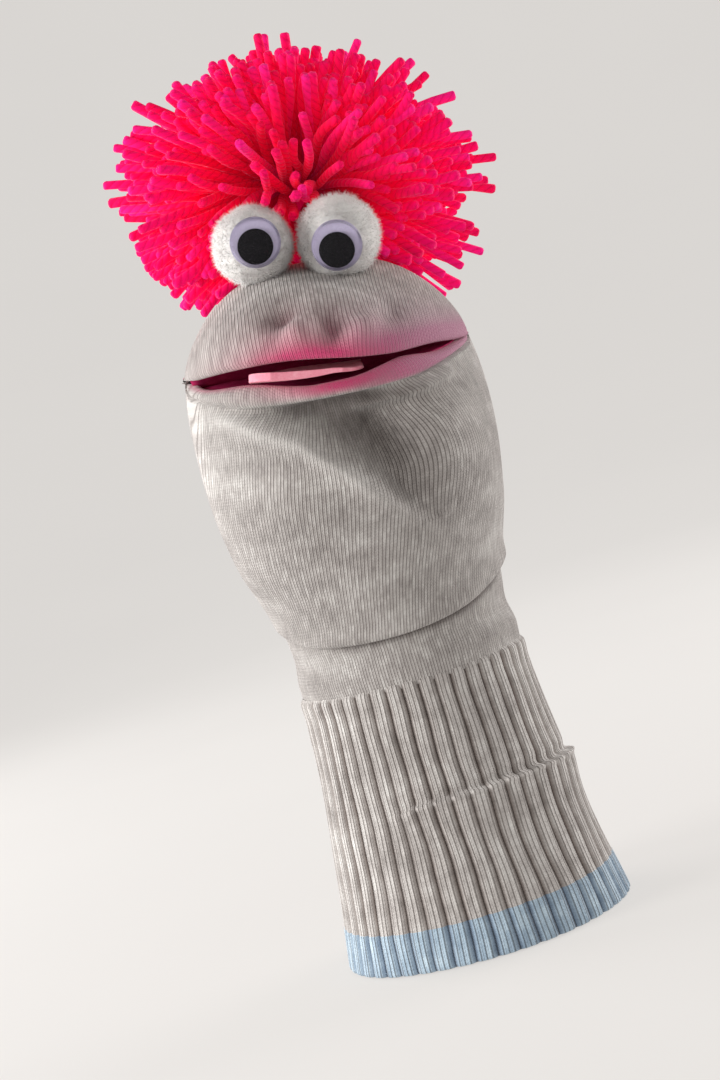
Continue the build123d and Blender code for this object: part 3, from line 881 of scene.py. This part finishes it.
tongue_felt = felt("tongue_felt", (0.80, 0.22, 0.31), (0.90, 0.32, 0.41), (0.97, 0.48, 0.56))
TONGUE_WIDTH, TONGUE_LENGTH, TONGUE_WALL, TONGUE_ROUND = 31.0, 27.0, 2.2, 9.0
TONGUE_ACROSS, TONGUE_ROOT = -6.3, 20.5
u = np.linspace(-1, 1, 49)
v = np.linspace(0, 1, 37)[:, None]
rounded = np.maximum(0, (v * TONGUE_LENGTH - (TONGUE_LENGTH - TONGUE_ROUND)) / TONGUE_ROUND)
across = TONGUE_ACROSS + TONGUE_WIDTH / 2 * u * np.sqrt(1 - 0.62 * rounded**2)
ahead = TONGUE_ROOT + TONGUE_LENGTH * v + 0 * u
raised = 1.3 + 2.0 * v**2 + 1.6 * ((across + 2) / 15) ** 2 * v - 1.3 * ease(across, 0, 9) * v
tongue_grid = hinge + across[..., None] * mouth_across + ahead[..., None] * jaw_forward
tongue_grid = tongue_grid + raised[..., None] * jaw_up
out = cloth_normals(tongue_grid, False)
thin = TONGUE_WALL - 1.3 * ease(across, -11, 9)[..., None]
tongue = skin("tongue_strip", tongue_grid, out, thin, tongue_felt, round_about=False)
bevel = tongue.modifiers.new("soft_edge", "BEVEL")
bevel.width = 0.5 * MM
bevel.segments = 2
bevel.angle_limit = math.radians(50)
bpy.context.view_layer.objects.active = tongue
bpy.ops.object.modifier_apply(modifier="soft_edge")
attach(tongue, "lower_jaw")
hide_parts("tongue")

# ---- eyes ---------------------------------------------------------------------------------
# Two craft pom-poms of white fluff glued on the crown, each with a wiggle eye pressed into
# it: a white back, a clear dome and a loose black pupil.

pompom_fluff, t = new_material("pompom_fluff")
wool = t.object_place().mottle(900.0, 4.0, 0.65)
clumps = t.object_place().mottle(160.0, 3.0)
colour = (wool * 0.4 + clumps * 0.6).ramp((0.3, (0.70, 0.66, 0.65)), (0.55, (0.88, 0.86, 0.84)))
bump = t.node("ShaderNodeBump", Strength=0.5, Distance=0.0004, Height=wool * 0.5 + clumps * 0.5)
shader = t.node(
    "ShaderNodeBsdfPrincipled",
    Base_Color=colour,
    Roughness=0.95,
    Normal=bump,
    Specular_IOR_Level=0.1,
    Subsurface_Weight=0.35,
    Subsurface_Scale=0.002,
    Subsurface_Radius=(1.0, 0.9, 0.85),
    Sheen_Weight=0.6,
    Sheen_Roughness=0.5,
)
finish_material(t, shader)

CROWN_TOP = hinge + np.array((0, 0, 27.5))
EYES = (
    ("left", (-10.6, -11.0, 9.4), 11.7, (0.052336, -0.998477, -0.017452), (-7.873, -45.249, 208.824), 5),
    ("right", (13.0, -11.0, 5.1), 12.2, (-0.069756, -0.982409, -0.173648), (13.398, -45.341, 201.843), 9),
)
EYE_RADIUS = 7.0
FIBRES = 9000
FIBRE_RADIUS = 0.085
SEAT_GAP = 0.15


def lump(way, seed):
    """How far the fluff swells out of a ball on one side, as a share of its radius."""
    coarse = noise.noise(way * 2.2 + Vector((seed, 0, 0)))
    return 0.05 * coarse + 0.022 * noise.noise(way * 7 + Vector((0, seed, 0)))


def from_seat(point, seat, axis):
    """How far a point lies ahead of the eye's seat, and how far from the eye's axis."""
    ahead = (point - seat) @ axis
    return ahead, np.linalg.norm(point - seat - axis * ahead)


def across_way(way, rng):
    """A direction square to way, any way round it."""
    side = np.cross(way, rng.normal(size=3))
    return side / np.linalg.norm(side)


for side, offset, radius, axis, seat, seed in EYES:
    centre = CROWN_TOP + np.array(offset)
    axis, seat = np.array(axis), np.array(seat)
    ball = bmesh.new()
    bmesh.ops.create_icosphere(ball, subdivisions=6, radius=1.0)
    ball.verts.index_update()
    points = []
    for vertex in ball.verts:
        way = vertex.co.normalized()
        point = centre + np.array(way) * (radius - 0.9) * (1 + lump(way, seed))
        ahead, beside = from_seat(point, seat, axis)
        if ahead > SEAT_GAP and beside < EYE_RADIUS + 0.5:
            flattened = 1 - ease(beside, EYE_RADIUS - 0.2, EYE_RADIUS + 0.5)
            point = point - axis * (ahead - SEAT_GAP) * flattened
        points.append(tuple(point * MM))
    faces = [tuple(vertex.index for vertex in face.verts) for face in ball.faces]
    ball.free()
    rng = np.random.default_rng(seed)
    for _ in range(FIBRES):
        way = rng.normal(size=3)
        way /= np.linalg.norm(way)
        root = centre + way * (radius - 1.15) * (1 + lump(Vector(way), seed))
        grow = way + rng.normal(size=3) * 0.55
        grow /= np.linalg.norm(grow)
        tip = root + grow * rng.uniform(0.9, 2.1)
        tip_ahead, tip_beside = from_seat(tip, seat, axis)
        if tip_ahead > -0.6 and min(tip_beside, from_seat(root, seat, axis)[1]) < EYE_RADIUS + 0.35:
            continue
        if ((tip - hinge) @ mouth_up) < 4:
            continue
        one = across_way(grow, rng)
        other = np.cross(grow, one)
        first = len(points)
        for turned in (0, 2 * math.pi / 3, 4 * math.pi / 3):
            foot_way = one * math.cos(turned) + other * math.sin(turned)
            points.append(tuple((root + foot_way * FIBRE_RADIUS) * MM))
        points.append(tuple(tip * MM))
        for corners in ((0, 2, 1), (0, 1, 3), (1, 2, 3), (2, 0, 3)):
            faces.append(tuple(first + n for n in corners))
    pompom = smooth_mesh(f"pompom_{side}", points, faces, pompom_fluff)
    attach(pompom, "head")
    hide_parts(f"eye_pompom_{side}")

eye_white, t = new_material("eye_white")
colour = t.object_place().mottle(2500.0, 2.0).ramp((0.4, (0.60, 0.55, 0.70)), (0.6, (0.66, 0.61, 0.76)))
finish_material(t, t.node("ShaderNodeBsdfPrincipled", Base_Color=colour, Roughness=0.45))
pupil_black, t = new_material("pupil_black")
speckle = t.object_place().mottle(1800.0, 2.0)
rough = speckle * 0.12 + 0.12
colour = speckle.ramp((0.4, (0.002, 0.002, 0.002)), (0.6, (0.004, 0.003, 0.004)))
shader = t.node("ShaderNodeBsdfPrincipled", Base_Color=colour, Roughness=rough, Specular_IOR_Level=0.12)
finish_material(t, shader)
eye_clear, t = new_material("eye_clear")
rough = t.object_place().mottle(1400.0, 3.0) * 0.05 + 0.015
gloss = t.node("ShaderNodeBsdfPrincipled", Base_Color=(0.95, 0.94, 1.0), Roughness=rough)
clear = t.node("ShaderNodeBsdfTransparent", Color=(0.965, 0.96, 0.985))
fresnel = t.node("ShaderNodeFresnel", IOR=1.15)
finish_material(t, t.node("ShaderNodeMixShader", i0=fresnel, i1=clear, i2=gloss))
for side in ("left", "right"):
    for node, finish in (("eye_back", eye_white), ("eye_dome", eye_clear), ("pupil", pupil_black)):
        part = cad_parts[f"{node}_{side}"]
        part.data.materials.clear()
        part.data.materials.append(finish)

# ---- hair ---------------------------------------------------------------------------------
# A pom-pom of hot pink acrylic yarn: strands cut to one length, tied round the waist and
# brushed apart into two tufts. Each strand has three plies and a blunt cut end.

PLIES = 3
PLY_TURNS = 0.36
hair_yarn, t = new_material("hair_yarn")
round_strand, along_strand, own = t.mark("yarn").split()
ply = ((round_strand * PLIES + along_strand * PLY_TURNS).sum("FRACT") - 0.5).sum("ABSOLUTE") * 2
fibre = t.object_place().mottle(1500.0, 3.0, 0.65)
length_share = (along_strand * 0.02).sum("MINIMUM", 1.0)
# Darker towards the roots: painted shade deep in the bundle, over the first 50 mm of each strand.
colour = length_share.ramp(
    (0.0, (0.20, 0.0, 0.01)),
    (0.36, (0.66, 0.0, 0.028)),
    (0.6, (0.97, 0.002, 0.072)),
    (0.86, (1.0, 0.002, 0.15)),
)
colour = colour.mix(own.smooth(0.62, 1.0) * length_share * 0.55, (1.0, 0.02, 0.34))
colour = colour.mix(own.smooth(0.4, 0.0) * 0.45, (0.80, 0.0, 0.03))
colour = colour.tinted(ply.smooth(0.62, 1.0) * 0.38, (0.5, 0.3, 0.35))
colour = colour.mix(fibre.smooth(0.55, 0.8) * 0.18, (1.0, 0.10, 0.30))
relief = (1 - ply.sum("POWER", 2.0)) * 0.8 + fibre * 0.35
bump = t.node("ShaderNodeBump", Strength=0.7, Distance=0.0004, Height=relief)
shader = t.node(
    "ShaderNodeBsdfPrincipled",
    Base_Color=colour,
    Roughness=0.8,
    Normal=bump,
    Specular_IOR_Level=0.12,
    Sheen_Weight=0.3,
    Sheen_Roughness=0.4,
    Sheen_Tint=(1.0, 0.3, 0.6),
    # Painted glow: the yarn gives off a little light of its own colour.
    Emission_Color=colour,
    Emission_Strength=0.16,
)
finish_material(t, shader)

HAIR_CENTRE = CROWN_TOP + np.array((6.9, 29.0, 25.4))
HAIR_LEAN = math.radians(16.7)
hair_across = np.array((math.cos(HAIR_LEAN), 0, -math.sin(HAIR_LEAN)))
hair_up = np.array((math.sin(HAIR_LEAN), 0, math.cos(HAIR_LEAN)))
hair_forward = np.array((0, -1.0, 0))
HAIR_SIZE = np.array((52.5, 40.0, 39.0))
STRAND_RADIUS = 1.42
STRAND_RINGS = 12
STRAND_SIDES = 8
STRANDS = 690
MOST_TRIES = 4000
GOLDEN_SHARE = 0.6180339887
SHORTEST_RINGS = 6
crown_middle = hinge + (CROWN_FRONT - CROWN_BACK) / 2 * mouth_forward + SEAM_RISE * mouth_up
crown_ways = (mouth_across, mouth_forward, mouth_up)
crown_size = (CROWN_ACROSS, (CROWN_FRONT + CROWN_BACK) / 2, HEAD_RISE)


def blocked(point, margin):
    """Whether a point lies in the crown or in one of the pom-poms."""
    off = point - crown_middle
    reach = [off @ way / (size + margin) for way, size in zip(crown_ways, crown_size)]
    inside = sum(share**2 for share in reach) < 1
    for _, offset, radius, *_ in EYES:
        away = np.linalg.norm(point - CROWN_TOP - np.array(offset))
        inside = inside or away < radius + margin - 0.6
    return inside


def strand_path(start, first_pull, second_pull, end, share):
    """Points along a strand's curve, up to a share of it."""
    s = np.linspace(0, share, STRAND_RINGS)[:, None]
    curve = (1 - s) ** 3 * start + 3 * s * (1 - s) ** 2 * first_pull
    return curve + 3 * s * s * (1 - s) * second_pull + s**3 * end


def wind(points, faces, marks, rings, own_colour):
    """Adds a closed tube of yarn to a mesh from its rings and the length of yarn at each."""
    base = len(points)
    for circle, _ in rings:
        points.extend((circle * MM).tolist())
    for k in range(len(rings) - 1):
        low, high = rings[k][1], rings[k + 1][1]
        row = base + k * STRAND_SIDES
        for m in range(STRAND_SIDES):
            n = (m + 1) % STRAND_SIDES
            faces.append((row + m, row + n, row + STRAND_SIDES + n, row + STRAND_SIDES + m))
            left, right = m / STRAND_SIDES, (m + 1) / STRAND_SIDES
            marks += [(left, low, own_colour), (right, low, own_colour)]
            marks += [(right, high, own_colour), (left, high, own_colour)]
    top = base + (len(rings) - 1) * STRAND_SIDES
    faces.append(tuple(range(top, top + STRAND_SIDES)))
    faces.append(tuple(range(base + STRAND_SIDES - 1, base - 1, -1)))
    for gone in (rings[-1][1], 0):
        marks += [(m / STRAND_SIDES, gone, own_colour) for m in range(STRAND_SIDES)]


def yarn_piece(name, points, faces, marks, node):
    piece = smooth_mesh(name, points, faces, hair_yarn)
    layer = piece.data.attributes.new("yarn", "FLOAT_VECTOR", "CORNER")
    layer.data.foreach_set("vector", np.array(marks, np.float32).ravel())
    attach(piece, "head")
    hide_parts(node)


ring_turns = 2 * math.pi * np.arange(STRAND_SIDES) / STRAND_SIDES
for side, sign, seed in (("left", -1, 31), ("right", 1, 47)):
    rng = np.random.default_rng(seed)
    points, faces, yarn_marks = [], [], []
    made = 0
    tries = 0
    while made < STRANDS and tries < MOST_TRIES:
        tries += 1
        lift = 1 - 2 * ((tries * GOLDEN_SHARE) % 1)
        swing = rng.random() * 2 * math.pi
        level = math.sqrt(1 - lift * lift)
        way = np.array((lift, level * math.cos(swing), level * math.sin(swing))) + rng.normal(size=3) * 0.05
        way[0] = sign * abs(way[0])
        if way[2] > 0.72 and rng.random() > 0.25:
            continue
        parting = rng.uniform(-0.05, 0.08)
        way[0] = sign * (parting + (1 - parting) * abs(way[0]))
        way /= np.linalg.norm(way)
        size = 1 / np.linalg.norm(way / HAIR_SIZE)
        size *= rng.uniform(0.80, 1.04) if rng.random() > 0.08 else rng.uniform(1.04, 1.13)
        direction = way[0] * hair_across + way[1] * hair_up + way[2] * hair_forward
        end = HAIR_CENTRE + direction * size + np.array((0, 0, -1.6 * abs(way[0])))
        start = HAIR_CENTRE + sign * hair_across * rng.uniform(0.5, 2.5) + direction * 1.5
        first_pull = start + sign * hair_across * 3.5 + direction * size * 0.25 + rng.normal(size=3) * 2.0
        second_pull = end - direction * size * 0.42 + rng.normal(size=3) * 3.0
        path = strand_path(start, first_pull, second_pull, end, 1)
        met = [k for k in range(1, STRAND_RINGS) if blocked(path[k], 1.6)]
        if met:
            if met[0] < SHORTEST_RINGS:
                continue
            path = strand_path(start, first_pull, second_pull, end, (met[0] - 1) / (STRAND_RINGS - 1))
        made += 1
        heading = np.gradient(path, axis=0)
        heading /= np.linalg.norm(heading, axis=1, keepdims=True)
        helper = np.array((0.3, 0.5, 0.8))
        if abs(heading[0] @ helper) >= 0.9:
            helper = np.array((1.0, 0, 0))
        first_side = np.cross(heading, helper)
        first_side /= np.linalg.norm(first_side, axis=1, keepdims=True)
        second_side = np.cross(heading, first_side)
        run = np.concatenate(((0,), np.cumsum(np.linalg.norm(np.diff(path, axis=0), axis=1))))
        fat = STRAND_RADIUS * rng.uniform(0.88, 1.1)
        girth = fat * (0.55 + 0.45 * ease(run / run[-1], 0.0, 0.6))
        stations = list(zip(path, girth, first_side, second_side, run))
        for beyond, thinner in ((0.55, 0.93), (0.95, 0.62)):
            place = path[-1] + heading[-1] * beyond
            gone = run[-1] + beyond - 0.05
            stations.append((place, girth[-1] * thinner, first_side[-1], second_side[-1], gone))
        own_colour = rng.random()
        squash = rng.uniform(0.9, 1.0)
        rings = []
        for place, r, a, b, gone in stations:
            lobes = (r * (1 + 0.07 * np.cos(PLIES * ring_turns + gone * PLY_TURNS * 2 * math.pi)))[:, None]
            spread = np.cos(ring_turns)[:, None] * a + np.sin(ring_turns)[:, None] * b * squash
            rings.append((place + lobes * spread, gone))
        wind(points, faces, yarn_marks, rings, own_colour)
    yarn_piece(f"hair_{side}", points, faces, yarn_marks, f"hair_tuft_{side}")

# ---- hair tie -----------------------------------------------------------------------------
# The same yarn, wound five times round the waist of the hair's bundle and pulled tight. It
# can't be seen from outside.

TIE_RADIUS, TIE_TURNS, TIE_STEPS, TIE_YARN = 6.6, 5, 200, 0.75
rings = []
for k in range(TIE_STEPS + 1):
    turn = 2 * math.pi * TIE_TURNS * k / TIE_STEPS
    spoke = math.cos(turn) * hair_up + math.sin(turn) * hair_forward
    place = HAIR_CENTRE + spoke * (TIE_RADIUS + 0.25 * math.sin(turn * 1.7))
    place = place + hair_across * (-1.5 + 3.0 * k / TIE_STEPS)
    circle = [place + TIE_YARN * (math.cos(m) * hair_across + math.sin(m) * spoke) for m in ring_turns]
    rings.append((np.array(circle), k * 2 * math.pi * TIE_RADIUS * TIE_TURNS / TIE_STEPS))
points, faces, yarn_marks = [], [], []
wind(points, faces, yarn_marks, rings, 0.2)
yarn_piece("hair_tie_yarn", points, faces, yarn_marks, "hair_tie")
